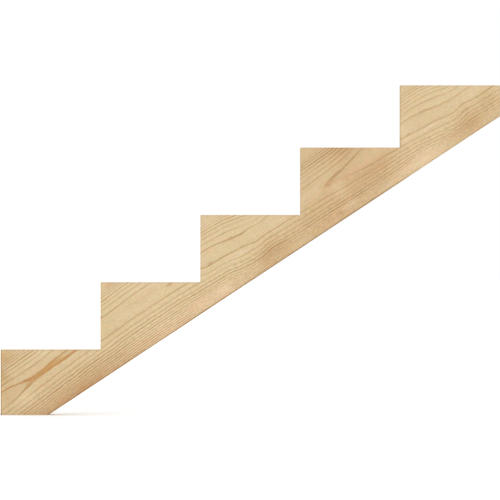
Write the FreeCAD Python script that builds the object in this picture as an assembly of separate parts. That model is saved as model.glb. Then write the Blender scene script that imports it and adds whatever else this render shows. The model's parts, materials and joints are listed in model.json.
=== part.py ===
import FreeCAD, Part
import itertools
import math
import os

# Cut stair stringer: one softwood plank, sawn along its upper edge into a flight of
# level treads and plumb risers, with a level cut at the foot and a plumb cut at the top.
# Frame: X along the run towards the landing, Y through the plank's thickness, Z up.
# The origin is the toe: the foot of the first riser, on the floor, at mid-thickness.

# Flight, in millimetres
STEP_COUNT = 5
RUN = 279.4  # going of every step, from one riser face to the next
FOOT_RISE = 182.5  # floor to the lowest tread
RISE = 188.5  # from tread to tread between the lowest and the top step
TOP_RISE = 174.0  # last rise, up to the top tread

# Plank, in millimetres
PLANK_WIDTH = 235.0  # dressed width, from the outermost nosing to the lower edge
PLANK_THICKNESS = 38.0  # dressed thickness
ARRIS_RADIUS = 3.0  # eased mill edges, left along the lower edge only

SAME_POINT = 0.001  # points closer than this are one point


def tread_heights():
    """Heights of the treads above the floor, from the lowest to the top one."""
    middle_rises = [RISE] * (STEP_COUNT - 2)
    return list(itertools.accumulate([FOOT_RISE, *middle_rises, TOP_RISE]))


def nosings():
    """Outer corner (x, z) of every step, where its riser meets its tread."""
    return [(step * RUN, height) for step, height in enumerate(tread_heights())]


def pitch_angle():
    """Slope of the flight: the line from the lowest nosing to the top one."""
    (first_x, first_z), (last_x, last_z) = nosings()[0], nosings()[-1]
    return math.atan2(last_z - first_z, last_x - first_x)


def lower_edge():
    """Ends (x, z) of the plank's lower edge: the heel on the floor and the tail of the plumb cut.

    The edge runs at the pitch, one plank width below the nosing that stands out furthest.
    """
    pitch = pitch_angle()
    reach = max(z * math.cos(pitch) - x * math.sin(pitch) for x, z in nosings())
    below_toe = (PLANK_WIDTH - reach) / math.cos(pitch)
    end_x = STEP_COUNT * RUN
    heel = (below_toe / math.tan(pitch), 0.0)
    tail = (end_x, end_x * math.tan(pitch) - below_toe)
    return heel, tail


def sawn_outline():
    """Side outline (x, z) of the stringer, from the toe up the steps and back along the lower edge."""
    outline = [(0.0, 0.0)]
    for nosing_x, tread_z in nosings():
        outline += [(nosing_x, tread_z), (nosing_x + RUN, tread_z)]
    heel, tail = lower_edge()
    return [*outline, tail, heel]


def on_side(point, side_y):
    """A point of the outline on the side face at that Y."""
    return FreeCAD.Vector(point[0], side_y, point[1])


def edge_between(solid, start, end):
    """The straight edge of a solid that joins two points."""
    for edge in solid.Edges:
        ends = [vertex.Point for vertex in edge.Vertexes]
        if all(any(p.isEqual(q, SAME_POINT) for q in ends) for p in (start, end)):
            return edge
    raise ValueError(f"no edge joins {start} and {end}")


def stringer():
    """The plank with its steps and ends sawn and the two mill arrises eased along its lower edge."""
    front_y = -PLANK_THICKNESS / 2
    back_y = PLANK_THICKNESS / 2
    corners = [on_side(point, front_y) for point in sawn_outline()]
    side = Part.Face(Part.makePolygon([*corners, corners[0]]))
    sawn = side.extrude(FreeCAD.Vector(0, PLANK_THICKNESS, 0))
    heel, tail = lower_edge()
    arrises = [edge_between(sawn, on_side(heel, y), on_side(tail, y)) for y in (front_y, back_y)]
    return sawn.makeFillet(ARRIS_RADIUS, arrises)


def main():
    os.makedirs("parts", exist_ok=True)
    solid = stringer()
    solid.exportStep("parts/stringer.step")
    heel, tail = lower_edge()
    print("tread heights", tread_heights())
    print("pitch in degrees", round(math.degrees(pitch_angle()), 3))
    print("heel", heel, "tail", tail)
    print("valid", solid.isValid(), "solids", len(solid.Solids), "volume", round(solid.Volume))


main()
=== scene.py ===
"""Cut stair stringer: the sawn pine plank and the plain studio it is shown in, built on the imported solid."""

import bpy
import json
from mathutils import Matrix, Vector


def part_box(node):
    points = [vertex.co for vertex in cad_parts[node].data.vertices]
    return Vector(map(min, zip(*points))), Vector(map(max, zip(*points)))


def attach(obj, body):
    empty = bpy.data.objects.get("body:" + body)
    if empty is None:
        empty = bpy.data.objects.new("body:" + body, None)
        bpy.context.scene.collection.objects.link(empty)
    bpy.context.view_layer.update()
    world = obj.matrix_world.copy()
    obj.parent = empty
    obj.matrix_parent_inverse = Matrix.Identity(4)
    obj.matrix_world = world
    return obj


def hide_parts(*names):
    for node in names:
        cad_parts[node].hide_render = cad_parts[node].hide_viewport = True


bl_info = {
    "name": "Cut Stair Stringer",
    "version": (1, 0, 0),
    "blender": (4, 5, 0),
    "location": "View3D > Sidebar > Stringer",
    "description": "Saws a pine stair stringer and sets up a plain studio for it",
    "category": "Add Mesh",
}

import json
import math

import bmesh
import bpy
from bpy.props import FloatProperty, FloatVectorProperty, IntProperty, PointerProperty
from mathutils import Vector

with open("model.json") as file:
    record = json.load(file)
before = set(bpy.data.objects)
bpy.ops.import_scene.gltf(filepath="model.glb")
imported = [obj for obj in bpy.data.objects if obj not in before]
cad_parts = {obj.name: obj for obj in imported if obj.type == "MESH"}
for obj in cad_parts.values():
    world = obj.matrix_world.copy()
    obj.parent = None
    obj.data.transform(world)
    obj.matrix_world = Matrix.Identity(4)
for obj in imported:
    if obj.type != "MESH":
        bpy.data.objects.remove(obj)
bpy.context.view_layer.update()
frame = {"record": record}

# Names and sizes from the frame, in metres
NODE = "stringer"
MOUNTS = {mount["name"]: Vector(mount["pos_m"]) for mount in frame["record"]["mounts"]}
STEPS = sum(name.startswith("tread_seat_") for name in MOUNTS)
SEATS = [MOUNTS[f"tread_seat_{step + 1}"] for step in range(STEPS)]
RUN = SEATS[1].x - SEATS[0].x
FOOT_RISE = SEATS[0].z
RISE = SEATS[1].z - SEATS[0].z
TOP_RISE = SEATS[-1].z - SEATS[-2].z
PLUMB_CUT = 2 * (SEATS[-1].z - MOUNTS["top_plumb_cut"].z)
LOW_CORNER, HIGH_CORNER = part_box(NODE)
THICKNESS = HIGH_CORNER.y - LOW_CORNER.y

# Wear of the edges, with the strip beside them darkened by wear and painted shade, in metres
ARRIS_RADIUS = 0.003
ARRIS_SEGMENTS = 4
SAWN_ARRIS = 0.0006
RUB_AND_SHADE_WIDTH = 0.004  # strip beside each arris that is darkened by handling wear and painted edge shade
RUB_AND_SHADE_LAYER = "edge_rub"  # attribute of the mesh that says how near a point is to an arris
FLAT_FACE = 4 * RUB_AND_SHADE_WIDTH  # a face has that strip where all its sides are longer than this

# Points nearer than TINY are merged, and a point nearer than NEAR to a line lies on it
TINY = 1e-5
NEAR = 1e-4
MM = 1000.0  # millimetres in a metre

# A face is a side of the plank, or leans like its lower edge, where its normal has more than this that way
SIDEWAYS = 0.5
LEANING = 0.1

# Points of the side outline: some for each step, and the toe, the tail below the top end and the heel
STEP_POINTS = 2.0
OTHER_POINTS = 3.0

# Kinds and names of the node groups' sockets
FLOAT = "NodeSocketFloat"
COLOUR = "NodeSocketColor"
MIX_FACTOR, MIX_FIRST, MIX_SECOND, MIX_RESULT = 0, 6, 7, 2  # a Mix node's sockets for colours, by number
PLACE_LABELS = ("Along", "Across", "Depth")
PATCH_LABELS = ("Centre Along", "Centre Across", "Half Length", "Half Height", "Strength")
SAWING_INPUTS = (
    ("Steps", "NodeSocketInt"), ("Run", FLOAT), ("Foot Rise", FLOAT), ("Rise", FLOAT), ("Top Rise", FLOAT),
    ("Plumb Cut", FLOAT), ("Thickness", FLOAT), ("Sawn Share", FLOAT),
    ("Planed", "NodeSocketMaterial"), ("Sawn", "NodeSocketMaterial"),
)

# Course of the pith, set from the grain: (along the plank, value), in millimetres.
# The rings of the lower half of the face curve about one line and those of the upper half about another.
# PITH_BEHIND is how deep the pith lies behind the front face.
PITH_LOW = (
    (112, 109.5), (168, 109.8), (196, 110.8), (224, 112.2), (243, 114), (257, 115.3), (279, 115.6),
    (335, 119.3), (405, 119), (447, 121), (511, 122.8), (573, 123.7), (643, 122.6), (699, 120.6),
    (782, 120.6), (813, 117.5), (838, 111.4), (866, 106.8), (886, 105.4), (905, 106.9), (922, 109.2),
    (950, 113.5), (967, 113), (986, 109.6), (1011, 108.3), (1062, 107.6), (1118, 107.8), (1257, 107.4),
    (1341, 109.8), (1425, 112.5), (1458, 109.8), (1481, 106), (1509, 101.5), (1537, 97.6), (1559, 95.2),
    (1579, 96.4), (1598, 100.2), (1615, 101.7), (1634, 99.8), (1654, 98.4), (1682, 97.6),
)
PITH_HIGH = (
    (98, 106.8), (168, 112), (196, 113), (224, 113.6), (240, 115), (257, 117), (279, 116.8), (335, 119.3),
    (447, 121.8), (511, 124.6), (573, 126), (671, 125.7), (782, 125.5), (838, 123.4), (866, 121.6),
    (894, 116), (922, 109), (950, 104.5), (975, 107), (1006, 108), (1118, 110.9), (1201, 110.4),
    (1257, 114.8), (1285, 116.8), (1369, 120), (1453, 120.8), (1481, 123), (1509, 122.6), (1537, 120.6),
    (1559, 118.4), (1579, 113.2), (1598, 109.8), (1615, 107.2), (1634, 104.6), (1676, 102),
)
PITH_BEHIND = (
    (92, 66.6), (112, 67.2), (140, 68.6), (168, 69.5), (182, 69.75), (196, 69.88), (224, 69.89),
    (243, 69.75), (257, 69.6), (307, 69.5), (340, 69.5), (405, 71.2), (475, 71.4), (573, 70.8), (699, 70.7),
    (740, 68.7), (782, 66.8), (810, 67.2), (838, 67.9), (866, 68.3), (886, 68.1), (905, 67), (922, 65.4),
    (950, 64.9), (975, 65.3), (1006, 66.2), (1062, 65.4), (1118, 64.6), (1150, 63.8), (1172, 63.1),
    (1201, 62.2), (1257, 61.1), (1285, 59.5), (1341, 57.6), (1397, 55), (1453, 53.2), (1481, 53.7),
    (1509, 54.2), (1537, 54.3), (1559, 53.9), (1579, 53.2), (1634, 53), (1676, 53.3),
)
# Where the rings of the upper half swing deeper: (along, across, half length, half height, how much deeper)
PITH_KNEES = (
    (948, 150, 38, 45, 3.7), (1600, 142, 45, 45, 2.8),
)
# Radius at the dark end of each year's growth: (radius in millimetres, year).
# The years are counted from the streak at the foot.
YEAR_ENDS = (
    (0, -10.4), (63.1, -1), (70, 0), (76.3, 1), (83.4, 2), (89.7, 3), (95.3, 4), (100.6, 5), (105.6, 6),
    (153, 16),
)
# Latewood of each year: (year, how dark it is) and (year, its share of the year's growth)
YEAR_DARKNESS = (
    (-11, 0.44), (-4, 0.42), (-3, 0.38), (-2, 0.4), (-1, 0.46), (0, 0.46), (1, 0.37), (2, 0.3), (3, 0.38),
    (4, 0.6), (5, 0.36), (6, 0.46), (7, 0.34), (8, 0.36), (9, 0.38), (10, 0.5), (12, 0.45), (17, 0.5),
)
YEAR_SHARE = (
    (-11, 0.17), (-4, 0.16), (-3, 0.15), (-2, 0.14), (-1, 0.13), (0, 0.12), (1, 0.22), (2, 0.3), (3, 0.38),
    (17, 0.42),
)

# The grain lies a little off the plank's own lines: moved along, lifted across, and turned, as a slope
GRAIN_SHIFT = 4.0
GRAIN_LIFT = 3.5
GRAIN_TILT = 0.0021

# Lowest and highest values that the courses can take
PITH_HEIGHTS = (85.0, 130.0)
PITH_DEPTHS = (50.0, 75.0)
YEARS = (-11.0, 17.0)
SHARES = (0.0, 1.0)

# Wavering of the rings: the size of one bump of noise, long, deep and high, and its reach, in millimetres
WANDER = (110.0, 60.0, 30.0)
WANDER_REACH = 2.4
FLUTTER = (30.0, 14.0, 9.0)
FLUTTER_REACH = 1.1
FLUTTER_LEAST = 0.12
FEATHER = (40.0, 4.0, 3.2)
FEATHER_REACH = 0.7
LOOSE_RINGS = (8.0, 60.0)  # distance from the pith line over which wander and flutter grow
UPPER_HALF = (62.0, 172.0)  # height over which the pith line goes from the lower one to the upper one

# Season of the year's growth, from 0 to 1
SOFT_END = 0.06  # by which the dark band runs past the year's end
LATE_REACH = 0.93  # from which the latewood's share is counted back
LATE_FULL = 0.35  # part of the latewood's share that is fully dark
LATE_STOP = (0.965, 1.0)
FALSE_RING_START = (0.28, 0.42)
FALSE_RING_STOP = (0.46, 0.6)
EARLY_YEARS = (1.0, 4.0)  # years over which the orange of the latewood fades

# The dark bands are stronger and weaker by stretches, and paler where the back grazes a ring
BREAKS = (75.0, 20.0, 8.0)
BREAK_GAIN = 1.55
BREAK_MEAN = 1.105
GRAZED_STRIP = (5.0, 16.0)
BACK_HALF = (18.0, 36.0)
BACK_FADE = 0.6

# Soft patches of the wood: (along, across, half length, half height, strength), in millimetres.
# The first four tint the wood.
RED_PATCHES = (
    (295, 8, 195, 40, 0.5), (240, 2, 130, 14, 0.45), (1240, 66, 190, 40, 0.35), (120, 105, 45, 18, 0.25),
    (955, 30, 60, 40, 0.3), (912, 23, 18, 12, 0.3), (966, 20, 26, 12, 0.12), (1270, 178, 55, 22, 0.55),
    (1600, 25, 70, 40, 0.25), (1531, 24, 24, 12, 0.1), (1606, 23, 30, 13, 0.1), (1160, 19, 16, 10, 0.4),
    (802, 20, 12, 8, 0.4), (514, 213, 26, 9, 0.4), (1170, 107, 18, 7, 0.75),
)
DULL_PATCHES = (
    (1240, 120, 190, 200, 0.7), (210, 90, 210, 120, 0.3), (1309, 72, 42, 12, 0.5), (560, 131, 60, 10, 0.4),
    (1606, 23, 34, 14, 0.4), (1131, 22, 24, 10, 0.5), (930, 24, 100, 15, 0.3),
)
BLUSH_PATCHES = (
    (700, 20, 160, 20, 0.4), (1130, 22, 130, 20, 0.3), (1420, 20, 110, 22, 0.4), (780, 150, 60, 30, 0.1),
    (1173, 97, 30, 7, 0.5), (1262, 99, 60, 8, 0.6), (1127, 22, 22, 10, 0.5), (760, 20, 34, 12, 0.4),
    (687, 35, 40, 12, 0.3), (1240, 150, 30, 10, 0.4), (540, 14, 110, 18, 0.35),
)
PALE_PATCHES = (
    (1131, 114, 35, 12, 0.3), (1197, 27, 26, 8, 0.6), (859, 81, 24, 6, 0.6), (998, 95, 26, 8, 0.5),
    (1433, 39, 36, 9, 0.5), (1311, 10, 22, 8, 0.3), (1495, 84, 50, 6, 0.5), (591, 147, 40, 10, 0.5),
    (420, 20, 60, 8, 0.4), (760, 24, 30, 8, 0.4), (1075, 30, 30, 10, 0.4),
)
# Here the rings fade, stand out, or are doubled by false rings and a cross hatch
PLAIN_PATCHES = (
    (745, 18, 110, 20, 0.75), (1010, 18, 60, 16, 0.6), (1100, 16, 90, 16, 0.75), (1245, 62, 60, 18, 0.6),
    (1330, 14, 120, 16, 0.8), (1430, 20, 70, 18, 0.7), (1530, 20, 40, 20, 0.4), (1020, 60, 60, 20, 0.35),
    (820, 78, 70, 14, 0.4), (304, 119, 28, 4.2, 1.2), (1228, 96, 62, 8, 0.6), (1600, 16, 110, 16, 0.75),
    (1453, 30, 60, 7, 0.6), (945, 143, 48, 7, 0.6), (930, 158, 60, 14, 0.4), (1610, 137, 60, 8, 0.5),
    (1453, 138, 50, 8, 0.55), (1118, 149, 50, 12, 0.65), (1640, 26, 40, 10, 0.5), (1174, 107, 20, 8, 0.82),
    (1196, 98, 28, 7, 0.5), (530, 187, 50, 9, 0.35), (866, 188, 50, 8, 0.25), (936, 150, 36, 12, 0.4),
    (978, 127, 30, 7, 0.45), (1453, 96, 50, 7, 0.45), (1600, 118, 70, 7, 0.45), (1565, 85, 40, 6, 0.35),
    (900, 26, 70, 11, 0.55),
)
BOLD_PATCHES = (
    (940, 50, 45, 30, 0.85), (1598, 44, 50, 30, 0.6), (1195, 180, 60, 26, 0.5), (1540, 41, 120, 9, 0.5),
    (1590, 37, 70, 5, 0.9), (307, 48, 60, 25, 0.5), (1341, 58, 50, 12, 0.7), (1215, 48, 80, 16, 0.45),
    (1450, 46, 70, 8, 0.5), (500, 25, 170, 24, 0.65),
)
CURL_PATCHES = (
    (945, 40, 46, 17, 1.0), (886, 36, 26, 12, 0.7), (1590, 36, 58, 16, 1.0), (1535, 28, 30, 12, 0.8),
    (1240, 45, 60, 16, 0.6), (1420, 34, 40, 14, 0.5),
)
# Clouds: the wood is darker where the strength is above 0 and lighter where it is below
CLOUD_PATCHES = (
    (92, 120, 16, 26, 0.08), (118, 160, 18, 26, 0.22), (150, 204, 26, 22, 0.2), (138, 78, 36, 30, -0.12),
    (248, 156, 50, 16, -0.08), (418, 24, 34, 14, 0.1), (448, 98, 45, 30, 0.06),
    (380, 110, 330, 150, -0.015), (545, 20, 100, 20, -0.165), (560, 182, 45, 14, -0.08),
    (690, 26, 36, 16, -0.1), (770, 24, 34, 14, -0.14), (570, 50, 70, 14, -0.07), (845, 197, 40, 16, -0.05),
    (890, 8, 45, 10, 0.06), (925, 55, 45, 16, 0.06), (1078, 28, 48, 36, 0.12), (1150, 16, 150, 24, 0.04),
    (1180, 140, 24, 26, -0.05), (1190, 76, 22, 30, -0.16), (1215, 176, 32, 20, -0.06),
    (1262, 158, 34, 24, 0.09), (1300, 105, 45, 16, -0.04), (1345, 50, 26, 22, -0.08),
    (1384, 62, 24, 22, -0.06), (1422, 112, 28, 46, -0.14), (1425, 14, 85, 20, -0.15),
    (1253, 36, 18, 18, -0.06), (1655, 100, 30, 22, -0.06), (1572, 18, 60, 16, 0.1),
    (1655, 24, 36, 14, 0.025), (1008, 22, 40, 14, 0.02), (1602, 64, 28, 15, 0.12), (1676, 58, 34, 34, 0.16),
)
# Where the face grazes one ring, whose stain is then stronger and more orange
STREAK_PATCHES = (
    (240, 113, 100, 20, 1.0), (1186, 106, 30, 10, 0.5), (100, 138, 32, 26, 0.7), (1262, 170, 42, 20, 0.6),
)
# Small marks at the front face
RESIN_FLECKS = (
    (776, 106.5, 8, 1.9, 0.7), (650, 120, 12, 4, 0.55), (1173, 45, 7, 1.6, 0.5), (1175, 37, 8, 1.5, 0.4),
    (1436, 99.2, 8, 1.8, 0.6), (1325, 51, 5, 1.6, 0.35), (1330, 58, 3.5, 1.8, 0.4), (439, 151, 4, 3, 0.5),
)
TOE_MARKS = ((54.5, 79, 2.8, 2.8, 1.3),)
# Darker band along the lower edge, soil and painted shade of the eased arris: (along the plank, strength)
EDGE_SOIL_AND_SHADE = (
    (90, 0.28), (180, 0.32), (240, 0.5), (335, 0.5), (420, 0.62), (500, 0.44), (580, 0.58), (670, 0.82),
    (760, 0.64), (1000, 0.74), (1200, 0.84), (1300, 0.72), (1370, 0.34), (1430, 0.06), (1530, 0.1),
    (1640, 0.22),
)

# Fibres: (name, shift along, size of one bump of noise, detail, roughness), in millimetres
FIBRES = (
    ("Streaks", 0.0, (170.0, 4.0, 3.4), 3.0, 0.6),
    ("Dashes", 0.0, (13.0, 1.7, 1.7), 1.0, 0.5),
    ("Hairs", 0.0, (60.0, 0.7, 0.65), 3.0, 0.6),
    ("Canals", 0.0, (9.0, 0.55, 0.55), 0.0, 0.5),
    ("Specks", 0.0, (11.0, 6.0, 4.4), 1.0, 0.5),
    ("Curl", 0.0, (2.4, 8.0, 7.0), 0.0, 0.5),
    ("Warmth", 0.0, (26.0, 20.0, 14.0), 3.0, 0.5),
    ("Honey", 1200.0, (30.0, 20.0, 15.0), 3.0, 0.5),
)
BROAD_CLOUDS = (160.0, 120.0, 50.0)
MOTTLE = (34.0, 30.0, 15.0)
MIDDLE = 0.5  # mean of the noise

# How far the fibres and the mottle lighten and darken the wood
FIBRE_SHADES = (("Streaks", 0.2), ("Dashes", 0.28), ("Hairs", 0.3))
MOTTLE_SHADE = 0.08
CURL_SHADE = 0.4
SPECK_SHADE = 0.5
SPECK_CALM = 0.24  # by which the specks are fainter above SPECK_RANGE
SPECK_RANGE = (60.0, 100.0)

# Hue of the fibres and clouds: how far they move single channels
WARMTH_RED = 0.13
WARMTH_GREEN = -0.06
HONEY_BLUE = 0.26
CLOUD_RED = 0.65
CLOUD_BLUE = 1.5

# How far the noise breaks up the tints
DULL_CLOUDS = 0.5
BLUSH_MOTTLE = 1.2
RED_MOTTLE = 1.6
PALE_MOTTLE = 2.0

# Strength of the ring stains and of the marks
QUIET_TOP = (192.0, 214.0)  # height over which the rings fade towards the nosings
QUIET_SHARE = 0.75
FALSE_RING_SHARE = 0.55
SEASON_STAIN = 0.12
EARLY_ORANGE = 0.22
STREAK_GAIN = 1.1
MARK_FALL = 0.02  # how fast a mark fades with depth, for each square millimetre
CANAL_RANGE = (0.24, 0.32)
CANAL_SHARE = 0.22
RELIEF_SHARE = 0.5  # of the latewood and of the fine fibres, in the relief

# Planed faces: soil and painted edge shade, then gloss and relief, which is a strength and a height in metres
PATCHY_SOIL_AND_SHADE = (26.0, 20.0, 20.0)
SOILED_SHADED_EDGE = (0.5, 5.0)
SOILED_TOE = (1.0, 4.0)
PLANED_RUB_AND_SHADE = 0.15
PATCHY_RUB_AND_SHADE = 0.3
TOE_SOIL = 0.6
PLANED_ROUGHNESS = 0.62
LATE_GLOSS = 0.12
PLANED_BUMP = (0.6, 0.0002)
PLANED_SPECULAR = 0.3

# Saw cuts: marks of the teeth, broader drag marks and torn fibres, then tone, gloss and relief
TEETH = (1.6, 40.0, 300.0)
DRAG = (7.0, 60.0, 300.0)
FUZZ = (1.2, 0.6, 1.2)
TOOTH_ARC = 0.004  # how far the marks bend, for each square millimetre of depth
CUT_TONE = 0.84
TEETH_SHADE = 0.22
DRAG_SHADE = 0.2
FUZZ_SHADE = 0.14
CUT_GREEN = 0.945
CUT_BLUE = 0.885
SAWN_RUB_AND_SHADE = 0.3
SAWN_ROUGHNESS = 0.84
FUZZ_ROUGHNESS = 0.12
TEETH_RELIEF = 0.6
FUZZ_RELIEF = 0.4
SAWN_BUMP = (0.7, 0.0004)
SAWN_SPECULAR = 0.2

# Photograph's frame: side of the picture and place of the toe in pixels, scale, and sensor in metres
PICTURE = 500.0
TOE_PIXEL = Vector((0.6, 415.05))
PIXELS_FOR_A_METRE = 357.6
SENSOR = 0.036

# Studio, in metres
FLOOR_HALF = 40.0
FLOOR_ROUGHNESS = 0.9
FARTHEST = 200.0
WHITE = (1.0, 1.0, 1.0, 1.0)
# Lights: (setting that holds the strength, place that it shines from, spread in degrees)
LIGHTS = (
    ("overhead", (-0.4, -0.6, 5.0), 110.0),
    ("key", (-2.5, -4.3, 2.3), 40.0),
    ("back", (2.5, 4.3, 2.3), 40.0),
)


def linear(red, green, blue):
    """A colour given as display numbers from 0 to 255, as a shader's linear values, by the sRGB curve."""
    shares = [channel / 255 for channel in (red, green, blue)]
    return tuple(c / 12.92 if c <= 0.04045 else ((c + 0.055) / 1.055) ** 2.4 for c in shares)


def pitch():
    """Slope of the flight, from the lowest nosing to the top one."""
    return math.atan2(SEATS[-1].z - SEATS[0].z, SEATS[-1].x - SEATS[0].x)


class StringerSizes(bpy.types.PropertyGroup):
    """Sizes of the sawn plank."""

    steps: IntProperty(name="Steps", description="Number of treads", default=STEPS, min=2)
    run: FloatProperty(name="Run", description="Going of each step", default=RUN, unit="LENGTH")
    foot_rise: FloatProperty(
        name="Foot rise", description="Floor to the lowest tread", default=FOOT_RISE, unit="LENGTH"
    )
    rise: FloatProperty(
        name="Rise", description="Tread to tread, between foot and top", default=RISE, unit="LENGTH"
    )
    top_rise: FloatProperty(name="Top rise", description="Last rise", default=TOP_RISE, unit="LENGTH")
    plumb_cut: FloatProperty(
        name="Plumb cut", description="Height of the cut at the top end", default=PLUMB_CUT, unit="LENGTH"
    )
    thickness: FloatProperty(
        name="Thickness", description="Dressed thickness of the plank", default=THICKNESS, unit="LENGTH"
    )
    arris: FloatProperty(
        name="Mill arris", description="Radius along the lower edge", default=ARRIS_RADIUS, unit="LENGTH"
    )
    sawn_arris: FloatProperty(
        name="Sawn arris", description="Wear on the edges of the saw cuts", default=SAWN_ARRIS, unit="LENGTH"
    )


class PineFinish(bpy.types.PropertyGroup):
    """Colours of the bare pine."""

    earlywood: FloatVectorProperty(
        name="Earlywood", description="Pale spring growth", subtype="COLOR", default=linear(214, 191, 150)
    )
    latewood: FloatVectorProperty(
        name="Latewood", description="Stain of the dark end of each ring", subtype="COLOR",
        default=linear(196, 163, 112),
    )
    streak: FloatVectorProperty(
        name="Streak", description="Stain where the face grazes one ring", subtype="COLOR",
        default=linear(234, 202, 158),
    )
    red: FloatVectorProperty(
        name="Red tint", description="Reddish patches", subtype="COLOR", default=linear(195, 153, 108)
    )
    dull: FloatVectorProperty(
        name="Dull tint", description="Greyer, browner patches", subtype="COLOR",
        default=linear(199, 168, 125),
    )
    resin: FloatVectorProperty(
        name="Resin", description="Small pitch flecks", subtype="COLOR", default=linear(170, 112, 62)
    )
    # Handling soil, and painted shade along the arrises and the lower edge
    grime_and_edge_shade: FloatVectorProperty(
        name="Rubbed and shaded edge", description="Handling marks along the arrises", subtype="COLOR",
        default=linear(150, 107, 50),
    )
    blush: FloatVectorProperty(
        name="Blush", description="Pinkish patches", subtype="COLOR", default=linear(218, 181, 143)
    )
    pale: FloatVectorProperty(
        name="Pale tint", description="Paler, creamy patches", subtype="COLOR", default=linear(224, 200, 166)
    )
    # A small dark mark at the toe corner, at the floor
    toe_dark_mark: FloatVectorProperty(
        name="Toe mark", description="Mark at the toe", subtype="COLOR", default=linear(70, 58, 50)
    )


class StudioSettings(bpy.types.PropertyGroup):
    """Camera and light."""

    lens: FloatProperty(name="Lens", description="Focal length of the camera", default=250.0, unit="CAMERA")
    sky: FloatProperty(name="Sky", description="Strength of the even light from all round", default=0.57)
    overhead: FloatProperty(name="Overhead", description="Strength of the broad light above", default=1.62)
    key: FloatProperty(name="Key", description="Strength of the soft light at the front left", default=0.42)
    back: FloatProperty(
        name="Back", description="Strength of the soft light at the back right", default=0.55
    )
    floor: FloatVectorProperty(
        name="Floor", description="Colour of the floor", subtype="COLOR", default=(0.95, 0.95, 0.95)
    )


class Wire:
    """A number that a node tree carries. Arithmetic on it adds Math nodes to the tree."""

    def __init__(self, tree, socket):
        self.tree = tree
        self.socket = socket

    def __add__(self, other):
        return maths(self.tree, "ADD", self, other)

    def __sub__(self, other):
        return maths(self.tree, "SUBTRACT", self, other)

    def __rsub__(self, other):
        return maths(self.tree, "SUBTRACT", other, self)

    def __mul__(self, other):
        return maths(self.tree, "MULTIPLY", self, other)

    def __truediv__(self, other):
        return maths(self.tree, "DIVIDE", self, other)

    def __gt__(self, other):
        return maths(self.tree, "GREATER_THAN", self, other)

    def __lt__(self, other):
        return maths(self.tree, "LESS_THAN", self, other)

    __radd__ = __add__
    __rmul__ = __mul__


def plug(tree, socket, value):
    """Feeds a node's input with a wire, a socket or a constant."""
    if isinstance(value, Wire):
        tree.links.new(value.socket, socket)
    elif isinstance(value, bpy.types.NodeSocket):
        tree.links.new(value, socket)
    else:
        socket.default_value = value


def plug_all(tree, node, inputs):
    """Feeds a node's inputs, by name or number."""
    for key, value in inputs.items():
        plug(tree, node.inputs[key], value)


def add_node(tree, kind, inputs=None, **settings):
    """A new node with its settings made and its inputs fed."""
    node = tree.nodes.new(kind)
    for name, value in settings.items():
        setattr(node, name, value)
    plug_all(tree, node, inputs or {})
    return node


def maths(tree, operation, *values):
    """One Math node."""
    node = add_node(tree, "ShaderNodeMath", dict(enumerate(values)), operation=operation)
    return Wire(tree, node.outputs[0])


def clipped(value):
    """The value, held between 0 and 1."""
    return maths(value.tree, "MINIMUM", maths(value.tree, "MAXIMUM", value, 0.0), 1.0)


def ramp(value, low, high):
    """0 below low, 1 above high and a smooth rise between them."""
    inputs = {"Value": value, "From Min": low, "From Max": high}
    node = add_node(value.tree, "ShaderNodeMapRange", inputs, interpolation_type="SMOOTHSTEP")
    return Wire(value.tree, node.outputs[0])


def course(along, points, low, high):
    """A value between low and high that changes smoothly through the given points."""
    first, last = points[0][0], points[-1][0]
    node = add_node(along.tree, "ShaderNodeFloatCurve", {"Value": (along - first) / (last - first)})
    curve = node.mapping.curves[0]
    places = [((at - first) / (last - first), (value - low) / (high - low)) for at, value in points]
    curve.points[0].location = places[0]
    curve.points[-1].location = places[-1]
    for place in places[1:-1]:
        curve.points.new(*place)
    node.mapping.update()
    return Wire(along.tree, node.outputs[0]) * (high - low) + low


def vector(tree, x, y, z):
    """Three numbers joined into a vector."""
    return add_node(tree, "ShaderNodeCombineXYZ", {"X": x, "Y": y, "Z": z}).outputs[0]


def axes(tree, socket):
    """The three numbers of a vector."""
    parts = add_node(tree, "ShaderNodeSeparateXYZ", {"Vector": socket})
    return [Wire(tree, parts.outputs[axis]) for axis in ("X", "Y", "Z")]


def mix_colours(tree, factor, first, second, blend="MIX"):
    """A colour that goes from the first to the second as the factor goes from 0 to 1."""
    inputs = {MIX_FACTOR: factor, MIX_FIRST: first, MIX_SECOND: second}
    node = add_node(tree, "ShaderNodeMix", inputs, data_type="RGBA", blend_type=blend)
    return node.outputs[MIX_RESULT]


def opaque(colour):
    """A property's colour with full alpha."""
    return (*colour, 1.0)


def tinted(colour, tint, amount):
    """A colour turned towards a tint, as much as the amount says."""
    return mix_colours(amount.tree, clipped(amount), colour, opaque(tint))


def stained(colour, stain, amount):
    """A colour multiplied by a stain, as much as the amount says."""
    return mix_colours(amount.tree, clipped(amount), colour, stain, blend="MULTIPLY")


def numbers(names):
    """Sockets with these names, for plain numbers."""
    return [(name, FLOAT) for name in names]


def new_group(name, kind, inputs, outputs):
    """An empty node group with named sockets: the tree, a wire for each input and the output node."""
    tree = bpy.data.node_groups.new(name, kind)
    for label, socket_type in inputs:
        tree.interface.new_socket(name=label, in_out="INPUT", socket_type=socket_type)
    for label, socket_type in outputs:
        tree.interface.new_socket(name=label, in_out="OUTPUT", socket_type=socket_type)
    start = tree.nodes.new("NodeGroupInput")
    end = tree.nodes.new("NodeGroupOutput")
    wires = {label: Wire(tree, start.outputs[label]) for label, _ in inputs}
    return tree, wires, end


def use_group(tree, group, inputs):
    """A copy of a shader group in a tree, with its inputs fed: a wire from each output, by name."""
    node = add_node(tree, "ShaderNodeGroup", inputs, node_tree=group)
    return {socket.name: Wire(tree, socket) for socket in node.outputs}


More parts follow.
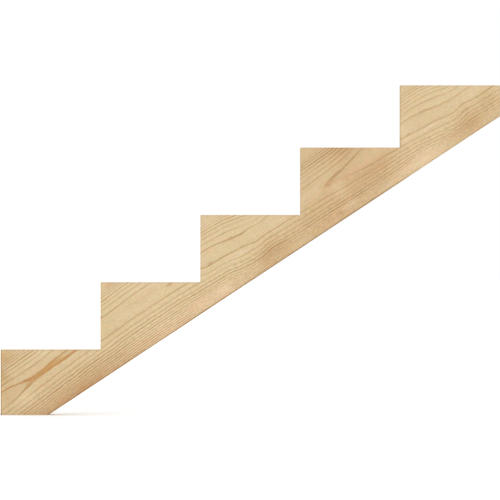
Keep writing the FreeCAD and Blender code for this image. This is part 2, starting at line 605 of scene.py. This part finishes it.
class PlankPlace:
    """A place in the plank, in millimetres: along it, across from its lower edge and deep from its face."""

    def __init__(self, along, across, depth, soft_patch=None):
        self.tree = along.tree
        self.along = along
        self.across = across
        self.depth = depth
        self.soft_patch = soft_patch

    def inputs(self):
        """The place as the inputs of a group."""
        return dict(zip(PLACE_LABELS, (self.along, self.across, self.depth)))

    def bumps(self, length, deep, height, detail=2.0, roughness=0.5):
        """Smooth noise, about one bump for each length, depth and height: below 0 as often as above it."""
        where = vector(self.tree, self.along / length, self.depth / deep, self.across / height)
        inputs = {"Vector": where, "Scale": 1.0, "Detail": detail, "Roughness": roughness}
        return Wire(self.tree, add_node(self.tree, "ShaderNodeTexNoise", inputs).outputs[0]) - MIDDLE

    def patches(self, rows):
        """Sum of the soft patches that the rows list."""
        total = None
        for row in rows:
            inputs = {"Along": self.along, "Across": self.across, **dict(zip(PATCH_LABELS, row))}
            mask = use_group(self.tree, self.soft_patch, inputs)["Mask"]
            total = mask if total is None else total + mask
        return total


def new_wood_group(name, outputs, soft_patch=None):
    """An empty shader group that takes a place in the plank: the tree, the place and the output node."""
    tree, wires, end = new_group(name, "ShaderNodeTree", numbers(PLACE_LABELS), outputs)
    return tree, PlankPlace(*(wires[label] for label in PLACE_LABELS), soft_patch), end


def soft_patch_group():
    """Mask of one soft oval patch of the plank."""
    labels = ("Along", "Across", *PATCH_LABELS)
    tree, wire, end = new_group("soft_patch", "ShaderNodeTree", numbers(labels), numbers(["Mask"]))
    along = (wire["Along"] - wire["Centre Along"]) / wire["Half Length"]
    across = (wire["Across"] - wire["Centre Across"]) / wire["Half Height"]
    fall = maths(tree, "EXPONENT", (along * along + across * across) * -1.0)
    plug(tree, end.inputs["Mask"], fall * wire["Strength"])
    return tree


def ring_places(place):
    """Distance from the pith, with the rings' wavering, and distance from the pith's line on the face."""
    tree, along, across = place.tree, place.along, place.across
    low = course(along, PITH_LOW, *PITH_HEIGHTS)
    high = course(along, PITH_HIGH, *PITH_HEIGHTS)
    sideways = across - low - (high - low) * ramp(across, *UPPER_HALF)
    behind = course(along, PITH_BEHIND, *PITH_DEPTHS) + place.patches(PITH_KNEES) - place.depth
    radius = maths(tree, "SQRT", sideways * sideways + behind * behind)
    off_line = maths(tree, "ABSOLUTE", sideways)
    loose = ramp(off_line, *LOOSE_RINGS)
    wander = place.bumps(*WANDER) * loose * WANDER_REACH
    flutter = place.bumps(*FLUTTER) * (loose * FLUTTER_REACH + FLUTTER_LEAST)
    feather = place.bumps(*FEATHER) * FEATHER_REACH
    return radius + wander + flutter + feather, off_line


def growth_rings_group(soft_patch):
    """Growth rings of a flat-sawn plank, as a solid pattern around a pith that lies behind the face."""
    outputs = numbers(("Latewood", "False Rings", "Season", "Early Years"))
    tree, place, end = new_wood_group("growth_rings", outputs, soft_patch)
    radius, off_line = ring_places(place)
    years = course(radius, YEAR_ENDS, *YEARS) - SOFT_END
    year = maths(tree, "CEIL", years)
    season = maths(tree, "FRACT", years)
    share = course(year, YEAR_SHARE, *SHARES)
    late = ramp(season, LATE_REACH - share, LATE_REACH - share * LATE_FULL)
    late = late * (1.0 - ramp(season, *LATE_STOP))
    grazed = (1.0 - ramp(off_line, *GRAZED_STRIP)) * ramp(place.depth, *BACK_HALF)
    breaks = place.bumps(*BREAKS, detail=1.0) * BREAK_GAIN + BREAK_MEAN
    plug_all(tree, end, {
        "Latewood": late * (1.0 - grazed * BACK_FADE) * course(year, YEAR_DARKNESS, *SHARES) * breaks,
        "False Rings": ramp(season, *FALSE_RING_START) * (1.0 - ramp(season, *FALSE_RING_STOP)),
        "Season": season,
        "Early Years": 1.0 - ramp(year, *EARLY_YEARS),
    })
    return tree


def fibres_group():
    """Noise of the fibres: streaks along the grain, resin canals, specks, cross hatch and changes of hue."""
    tree, place, end = new_wood_group("wood_fibres", numbers(row[0] for row in FIBRES))
    for name, shift, size, detail, roughness in FIBRES:
        moved = PlankPlace(place.along + shift, place.across, place.depth)
        plug(tree, end.inputs[name], moved.bumps(*size, detail=detail, roughness=roughness))
    return tree


def latewood(place, rings, curled):
    """How dark the rings show: they fade, stand out or are doubled in the patches that say so."""
    plain = place.patches(PLAIN_PATCHES) + ramp(place.across, *QUIET_TOP) * QUIET_SHARE
    bold = place.patches(BOLD_PATCHES)
    late = rings["Latewood"] * (1.0 - clipped(plain)) * (bold + 1.0)
    return late + rings["False Rings"] * curled * FALSE_RING_SHARE


def broad_tones(place, finish, mottle):
    """Colour of the spring growth with its dull, pinkish, reddish and pale patches."""
    clouds = place.bumps(*BROAD_CLOUDS)
    wood = tinted(opaque(finish.earlywood), finish.dull, place.patches(DULL_PATCHES) + clouds * DULL_CLOUDS)
    wood = tinted(wood, finish.blush, place.patches(BLUSH_PATCHES) + mottle * BLUSH_MOTTLE)
    wood = tinted(wood, finish.red, place.patches(RED_PATCHES) * (mottle * RED_MOTTLE + 1.0))
    return tinted(wood, finish.pale, place.patches(PALE_PATCHES) * (mottle * PALE_MOTTLE + 1.0))


def ring_stains(place, finish, wood, rings, late):
    """The wood stained by its rings, more orange near the pith and where the face grazes a ring."""
    grazed = place.patches(STREAK_PATCHES)
    orange = clipped(grazed + rings["Early Years"] * EARLY_ORANGE)
    stain = mix_colours(place.tree, orange, opaque(finish.latewood), opaque(finish.streak))
    wood = stained(wood, opaque(finish.latewood), rings["Season"] * rings["Season"] * SEASON_STAIN)
    return stained(wood, stain, late + late * clipped(grazed) * STREAK_GAIN)


def small_marks(place, finish, wood, canals):
    """The wood with its resin canals, and with the flecks and the dark toe mark that lie at the front face."""
    near_face = maths(place.tree, "EXPONENT", place.depth * place.depth * -MARK_FALL)
    flecks = place.patches(RESIN_FLECKS) * near_face + ramp(canals, *CANAL_RANGE) * CANAL_SHARE
    wood = tinted(wood, finish.resin, flecks)
    # A small dark mark at the toe corner
    return tinted(wood, finish.toe_dark_mark, place.patches(TOE_MARKS) * near_face)


def fibre_shades(place, fibres, mottle, curled):
    """How much of the wood's red, green and blue the fibres and the clouds leave."""
    shade = mottle * MOTTLE_SHADE + 1.0
    for name, strength in FIBRE_SHADES:
        shade = shade + fibres[name] * strength
    shade = shade + fibres["Specks"] * (SPECK_SHADE - ramp(place.across, *SPECK_RANGE) * SPECK_CALM)
    shade = shade + fibres["Curl"] * curled * CURL_SHADE
    clouds = place.patches(CLOUD_PATCHES)
    red = shade + fibres["Warmth"] * WARMTH_RED - clouds * CLOUD_RED
    green = shade + fibres["Warmth"] * WARMTH_GREEN - clouds
    blue = shade + fibres["Honey"] * HONEY_BLUE - clouds * CLOUD_BLUE
    return vector(place.tree, red, green, blue)


def pine_group(finish):
    """Colour and relief of bare pine at a place in the plank, as one solid pattern."""
    patch = soft_patch_group()
    outputs = [("Color", COLOUR), ("Latewood", FLOAT), ("Relief", FLOAT)]
    tree, plank, end = new_wood_group("bare_pine", outputs)
    across = plank.across + GRAIN_LIFT - plank.along * GRAIN_TILT
    place = PlankPlace(plank.along + GRAIN_SHIFT, across, plank.depth, patch)
    rings = use_group(tree, growth_rings_group(patch), place.inputs())
    fibres = use_group(tree, fibres_group(), place.inputs())
    mottle = place.bumps(*MOTTLE)
    curled = place.patches(CURL_PATCHES)
    late = latewood(place, rings, curled)

    # Broad tones, then the rings, then small marks and the fibres over all
    wood = broad_tones(place, finish, mottle)
    wood = ring_stains(place, finish, wood, rings, late)
    wood = small_marks(place, finish, wood, fibres["Canals"])
    wood = mix_colours(tree, 1.0, wood, fibre_shades(place, fibres, mottle, curled), blend="MULTIPLY")
    relief = late * RELIEF_SHARE + fibres["Hairs"] * RELIEF_SHARE
    plug_all(tree, end, {"Color": wood, "Latewood": late, "Relief": relief})
    return tree


def plank_place(tree):
    """Place in the plank of the point that a material shades."""
    slope = pitch()
    below_toe = STEPS * RUN * math.tan(slope) - (SEATS[-1].z - PLUMB_CUT)
    lower_edge = (below_toe * math.sin(slope) * MM, THICKNESS / 2 * MM, below_toe * math.cos(slope) * MM)
    where = add_node(tree, "ShaderNodeTexCoord")
    inputs = {
        "Vector": where.outputs["Object"], "Scale": (MM, MM, MM), "Rotation": (0.0, slope, 0.0),
        "Location": lower_edge,
    }
    mapping = add_node(tree, "ShaderNodeMapping", inputs, vector_type="POINT")
    along, depth, across = axes(tree, mapping.outputs["Vector"])
    return PlankPlace(along, across, depth)


# Mask of the strip along the arrises that is darkened by wear and painted edge shade
def edge_rub(tree):
    """How near a point is to an arris, from 0 to 1."""
    return Wire(tree, add_node(tree, "ShaderNodeAttribute", attribute_name=RUB_AND_SHADE_LAYER).outputs["Fac"])


def new_material(name):
    """A material with only an output and a Principled shader."""
    material = bpy.data.materials.new(name)
    material.use_nodes = True
    tree = material.node_tree
    tree.nodes.clear()
    end = tree.nodes.new("ShaderNodeOutputMaterial")
    shader = tree.nodes.new("ShaderNodeBsdfPrincipled")
    plug(tree, end.inputs["Surface"], shader.outputs["BSDF"])
    return material, tree, shader


def dress(tree, shader, colour, roughness, height, bump, specular):
    """Feeds a shader with the colour, gloss and relief of a surface."""
    strength, distance = bump
    relief = add_node(tree, "ShaderNodeBump", {"Strength": strength, "Distance": distance, "Height": height})
    inputs = {"Base Color": colour, "Roughness": roughness, "Normal": relief.outputs["Normal"]}
    plug_all(tree, shader, inputs)
    shader.inputs["Specular IOR Level"].default_value = specular


def planed_pine(finish, pine):
    """Dressed faces and lower edge: smooth, faintly ridged by the latewood, with wear and painted shade at the
    arrises.
    """
    material, tree, shader = new_material("planed_pine")
    place = plank_place(tree)
    wood = use_group(tree, pine, place.inputs())
    # Painted shade with handling wear: a darker strip along every arris
    rubbed_and_shaded = edge_rub(tree) * (place.bumps(*PATCHY_SOIL_AND_SHADE) * PATCHY_RUB_AND_SHADE + PLANED_RUB_AND_SHADE)
    # Painted shade with soil: a darker band along the lower edge, where the eased arris turns away from the
    # light
    lower = (1.0 - ramp(place.across, *SOILED_SHADED_EDGE)) * course(place.along, EDGE_SOIL_AND_SHADE, *SHARES)
    from_toe = place.along * math.cos(pitch()) - place.across * math.sin(pitch())
    toe = (1.0 - ramp(from_toe, *SOILED_TOE)) * TOE_SOIL
    colour = tinted(wood["Color"], finish.grime_and_edge_shade, rubbed_and_shaded + lower + toe)
    roughness = PLANED_ROUGHNESS - wood["Latewood"] * LATE_GLOSS
    dress(tree, shader, colour, roughness, wood["Relief"], PLANED_BUMP, PLANED_SPECULAR)
    return material


def sawn_pine(finish, pine):
    """Saw cuts across the grain: darker, rough, with the marks that the teeth left."""
    material, tree, shader = new_material("sawn_pine")
    place = plank_place(tree)
    wood = use_group(tree, pine, place.inputs())
    arc = PlankPlace(place.along + place.depth * place.depth * TOOTH_ARC, place.across, place.depth)
    teeth = arc.bumps(*TEETH, detail=1.0)
    drag = arc.bumps(*DRAG)
    fuzz = place.bumps(*FUZZ)
    shade = CUT_TONE + teeth * TEETH_SHADE + drag * DRAG_SHADE + fuzz * FUZZ_SHADE
    tint = vector(tree, shade, shade * CUT_GREEN, shade * CUT_BLUE)
    cut = mix_colours(tree, 1.0, wood["Color"], tint, blend="MULTIPLY")
    # Painted shade with handling wear: a darker strip along the arrises of the saw cuts
    colour = tinted(cut, finish.grime_and_edge_shade, edge_rub(tree) * SAWN_RUB_AND_SHADE)
    roughness = SAWN_ROUGHNESS + fuzz * FUZZ_ROUGHNESS
    relief = teeth * TEETH_RELIEF + fuzz * FUZZ_RELIEF
    dress(tree, shader, colour, roughness, relief, SAWN_BUMP, SAWN_SPECULAR)
    return material


def sawn_outline(tree, wire):
    """Place of each point of the side outline: up the steps, then back along the lower edge."""
    # Points are counted from 0 at the toe, and compared with halves, so that each is clearly above or below
    steps, run = wire["Steps"], wire["Run"]
    number = Wire(tree, add_node(tree, "GeometryNodeInputIndex").outputs[0])
    column = maths(tree, "FLOOR", number / STEP_POINTS)
    level = maths(tree, "FLOOR", (number + 1.0) / STEP_POINTS)
    below_top = maths(tree, "MINIMUM", level, steps - 1.0)
    tread = (level > 0.5) * (wire["Foot Rise"] + (below_top - 1.0) * wire["Rise"])
    tread = tread + (level > steps - 0.5) * wire["Top Rise"]
    climb = (steps - 2.0) * wire["Rise"] + wire["Top Rise"]
    tail_height = wire["Foot Rise"] + climb - wire["Plumb Cut"]
    slope = climb / ((steps - 1.0) * run)
    on_steps = number < steps * STEP_POINTS + 0.5
    at_heel = number > steps * STEP_POINTS + 1.5
    x = on_steps * column * run + (1.0 - on_steps) * (steps * run - at_heel * tail_height / slope)
    y = on_steps * tread + (1.0 - on_steps) * (1.0 - at_heel) * tail_height
    return vector(tree, x, y, 0.0), slope, tail_height


def thick_plank(tree, wire, outline):
    """The outline filled, drawn out to the plank's thickness and stood upright about the middle of it."""
    line = add_node(tree, "GeometryNodeMeshLine", {"Count": wire["Steps"] * STEP_POINTS + OTHER_POINTS})
    shaped = add_node(tree, "GeometryNodeSetPosition", {"Geometry": line.outputs[0], "Position": outline})
    curve = add_node(tree, "GeometryNodeMeshToCurve", {0: shaped.outputs[0]})
    closed = add_node(tree, "GeometryNodeSetSplineCyclic", {"Geometry": curve.outputs[0], "Cyclic": True})
    side = add_node(tree, "GeometryNodeFillCurve", {0: closed.outputs[0]}, mode="NGONS")
    inputs = {"Mesh": side.outputs[0], "Offset Scale": wire["Thickness"]}
    thick = add_node(tree, "GeometryNodeExtrudeMesh", inputs)
    back = add_node(tree, "GeometryNodeFlipFaces", {"Mesh": side.outputs[0]})
    both = add_node(tree, "GeometryNodeJoinGeometry")
    for part in (back.outputs[0], thick.outputs["Mesh"]):
        tree.links.new(part, both.inputs[0])
    whole = add_node(tree, "GeometryNodeMergeByDistance", {"Geometry": both.outputs[0], "Distance": TINY})
    inputs = {
        "Geometry": whole.outputs[0], "Translation": vector(tree, 0.0, wire["Thickness"] * 0.5, 0.0),
        "Rotation": (math.radians(90), 0.0, 0.0),
    }
    return add_node(tree, "GeometryNodeTransform", inputs).outputs[0]


def edge_easing(tree, wire, slope, tail_height):
    """How much each edge is eased: fully along the lower edge, little on saw cuts, not in inner corners."""
    ends = add_node(tree, "GeometryNodeInputMeshEdgeVertices")
    first, second = (axes(tree, ends.outputs[name]) for name in ("Position 1", "Position 2"))
    mill = maths(tree, "ABSOLUTE", first[1] - second[1]) < NEAR
    for x, _, z in (first, second):
        above = z - tail_height + (wire["Steps"] * wire["Run"] - x) * slope
        mill = mill * (above < NEAR)
    bend = Wire(tree, add_node(tree, "GeometryNodeInputMeshEdgeAngle").outputs["Signed Angle"])
    return (bend > 0.0) * (mill + (1.0 - mill) * wire["Sawn Share"])


def saw_cuts(tree):
    """Which faces are saw cuts: neither a side of the plank nor its lower edge."""
    x, y, z = axes(tree, add_node(tree, "GeometryNodeInputNormal").outputs[0])
    side = maths(tree, "ABSOLUTE", y) > SIDEWAYS
    lower_edge = (z < -LEANING) * (x > LEANING)
    return (1.0 - side) * (1.0 - lower_edge)


def sawing_tree():
    """Geometry Nodes that saw the plank: outline, thickness, how much each edge is eased, and finishes."""
    tree, wire, end = new_group(
        "plank_sawing", "GeometryNodeTree", SAWING_INPUTS, [("Geometry", "NodeSocketGeometry")]
    )
    outline, slope, tail_height = sawn_outline(tree, wire)
    plank = thick_plank(tree, wire, outline)
    ease = edge_easing(tree, wire, slope, tail_height)
    inputs = {"Geometry": plank, "Name": "bevel_weight_edge", "Value": ease}
    eased = add_node(tree, "GeometryNodeStoreNamedAttribute", inputs, data_type="FLOAT", domain="EDGE")
    real = add_node(tree, "GeometryNodeRealizeInstances", {"Geometry": eased.outputs[0]})
    inputs = {"Geometry": real.outputs[0], "Material": wire["Planed"]}
    planed = add_node(tree, "GeometryNodeSetMaterial", inputs)
    inputs = {"Geometry": planed.outputs[0], "Selection": saw_cuts(tree), "Material": wire["Sawn"]}
    sawn = add_node(tree, "GeometryNodeSetMaterial", inputs)
    plug(tree, end.inputs["Geometry"], sawn.outputs[0])
    return tree


def new_object(name, data):
    """A new object of the scene, at the origin."""
    made = bpy.data.objects.new(name, data)
    bpy.context.scene.collection.objects.link(made)
    return made


def sawn_mesh(sizes, planed, sawn):
    """The plank as a plain mesh: sawn by the node tree, its arrises eased by a bevel."""
    maker = new_object("plank_maker", bpy.data.meshes.new("plank_maker"))
    tree = sawing_tree()
    modifier = maker.modifiers.new("sawing", "NODES")
    modifier.node_group = tree
    values = {
        "Steps": sizes.steps, "Run": sizes.run, "Foot Rise": sizes.foot_rise, "Rise": sizes.rise,
        "Top Rise": sizes.top_rise, "Plumb Cut": sizes.plumb_cut, "Thickness": sizes.thickness,
        "Sawn Share": sizes.sawn_arris / sizes.arris, "Planed": planed, "Sawn": sawn,
    }
    for item in tree.interface.items_tree:
        if item.in_out == "INPUT":
            modifier[item.identifier] = values[item.name]
    bevel = maker.modifiers.new("arrises", "BEVEL")
    bevel.width = sizes.arris
    bevel.segments = ARRIS_SEGMENTS
    bevel.limit_method = "WEIGHT"
    bevel.use_clamp_overlap = False
    depsgraph = bpy.context.evaluated_depsgraph_get()
    mesh = bpy.data.meshes.new_from_object(maker.evaluated_get(depsgraph))
    maker.modifiers.clear()
    bpy.data.objects.remove(maker)
    return mesh


def mark_rubbed_and_shaded_edges(mesh):
    """Insets every flat face and stores how near each point is to an arris, for the strip of wear and painted
    shade.
    """
    shape = bmesh.new()
    shape.from_mesh(mesh)
    bmesh.ops.recalc_face_normals(shape, faces=shape.faces)
    rub_and_shade_level = shape.verts.layers.float.new(RUB_AND_SHADE_LAYER)
    for vert in shape.verts:
        vert[rub_and_shade_level] = 1.0
        vert.co.z = max(vert.co.z, LOW_CORNER.z)
    edge_points = set(shape.verts)
    flats = [face for face in shape.faces if min(edge.calc_length() for edge in face.edges) > FLAT_FACE]
    bmesh.ops.inset_individual(shape, faces=flats, thickness=RUB_AND_SHADE_WIDTH, use_even_offset=True)
    for vert in shape.verts:
        if vert not in edge_points:
            vert[rub_and_shade_level] = 0.0
    shape.to_mesh(mesh)
    shape.free()


class STRINGER_OT_saw_plank(bpy.types.Operator):
    """Saw the stringer from its plank and give it its planed and sawn pine"""

    bl_idname = "stringer.saw_plank"
    bl_label = "Saw Plank"

    def execute(self, context):
        finish = context.scene.pine_finish
        pine = pine_group(finish)
        planed = planed_pine(finish, pine)
        sawn = sawn_pine(finish, pine)
        mesh = sawn_mesh(context.scene.stringer_sizes, planed, sawn)
        mark_rubbed_and_shaded_edges(mesh)
        plank = new_object("sawn_plank", mesh)
        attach(plank, "root")
        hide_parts(NODE)
        return {"FINISHED"}


def add_camera(settings):
    """A long lens square to the front face, framed as in the photograph."""
    width = PICTURE / PIXELS_FOR_A_METRE
    lens = settings.lens / MM
    centre_x = (PICTURE / 2 - TOE_PIXEL.x) / PIXELS_FOR_A_METRE
    centre_z = (TOE_PIXEL.y - PICTURE / 2) / PIXELS_FOR_A_METRE
    data = bpy.data.cameras.new("front_camera")
    data.lens = settings.lens
    data.sensor_width = SENSOR * MM
    data.clip_end = FARTHEST
    camera = new_object("front_camera", data)
    camera.location = (centre_x, -THICKNESS / 2 - width * lens / SENSOR, centre_z)
    camera.rotation_euler = (math.radians(90), 0.0, 0.0)
    bpy.context.scene.camera = camera


def add_soft_light(name, place, spread, strength):
    """A broad, distant light that shines from that place towards the origin, evenly over the whole floor."""
    data = bpy.data.lights.new(name, "SUN")
    data.angle = math.radians(spread)
    data.energy = strength
    lamp = new_object(name, data)
    lamp.location = place
    lamp.rotation_euler = (-Vector(place)).to_track_quat("-Z", "Y").to_euler()


def add_floor(colour):
    """A plain pale floor, large enough to fill every view."""
    half = FLOOR_HALF
    corners = [(-half, -half, 0.0), (half, -half, 0.0), (half, half, 0.0), (-half, half, 0.0)]
    mesh = bpy.data.meshes.new("studio_floor")
    mesh.from_pydata(corners, [], [(0, 1, 2, 3)])
    material, _, shader = new_material("floor_paint")
    shader.inputs["Base Color"].default_value = opaque(colour)
    shader.inputs["Roughness"].default_value = FLOOR_ROUGHNESS
    shader.inputs["Specular IOR Level"].default_value = 0.0
    mesh.materials.append(material)
    floor = new_object("studio_floor", mesh)


def add_sky(strength):
    """Even light from all round, behind a white background."""
    world = bpy.data.worlds.new("studio_sky")
    world.use_nodes = True
    tree = world.node_tree
    tree.nodes.clear()
    end = tree.nodes.new("ShaderNodeOutputWorld")
    light = add_node(tree, "ShaderNodeBackground", {"Color": WHITE, "Strength": strength})
    shown = add_node(tree, "ShaderNodeBackground", {"Color": WHITE, "Strength": 1.0})
    path = tree.nodes.new("ShaderNodeLightPath")
    inputs = {0: path.outputs["Is Camera Ray"], 1: light.outputs[0], 2: shown.outputs[0]}
    mix = add_node(tree, "ShaderNodeMixShader", inputs)
    plug(tree, end.inputs["Surface"], mix.outputs[0])
    bpy.context.scene.world = world


class STRINGER_OT_set_studio(bpy.types.Operator):
    """Set up the pale floor, the soft lights and the camera"""

    bl_idname = "stringer.set_studio"
    bl_label = "Set Studio"

    def execute(self, context):
        settings = context.scene.studio_settings
        context.scene.view_settings.view_transform = "Standard"
        add_floor(settings.floor)
        add_sky(settings.sky)
        for name, place, spread in LIGHTS:
            add_soft_light(f"{name}_light", place, spread, getattr(settings, name))
        add_camera(settings)
        return {"FINISHED"}


class STRINGER_PT_panel(bpy.types.Panel):
    """Sizes, finish and studio of the stringer"""

    bl_idname = "STRINGER_PT_panel"
    bl_label = "Stringer"
    bl_space_type = "VIEW_3D"
    bl_region_type = "UI"
    bl_category = "Stringer"

    def draw(self, context):
        layout = self.layout
        for name in ("stringer_sizes", "pine_finish", "studio_settings"):
            group = getattr(context.scene, name)
            box = layout.box()
            for field in group.bl_rna.properties:
                if field.identifier not in ("name", "rna_type"):
                    box.prop(group, field.identifier)
        layout.operator(STRINGER_OT_saw_plank.bl_idname)
        layout.operator(STRINGER_OT_set_studio.bl_idname)


CLASSES = (
    StringerSizes, PineFinish, StudioSettings,
    STRINGER_OT_saw_plank, STRINGER_OT_set_studio, STRINGER_PT_panel,
)


def register():
    """Registers the classes and gives the scene its settings."""
    for cls in CLASSES:
        bpy.utils.register_class(cls)
    bpy.types.Scene.stringer_sizes = PointerProperty(type=StringerSizes)
    bpy.types.Scene.pine_finish = PointerProperty(type=PineFinish)
    bpy.types.Scene.studio_settings = PointerProperty(type=StudioSettings)


def unregister():
    """Takes back what register() did."""
    del bpy.types.Scene.studio_settings
    del bpy.types.Scene.pine_finish
    del bpy.types.Scene.stringer_sizes
    for cls in reversed(CLASSES):
        bpy.utils.unregister_class(cls)


def main():
    """Builds the plank and its studio."""
    register()
    bpy.ops.stringer.saw_plank()
    bpy.ops.stringer.set_studio()


if __name__ == "__main__":
    main()
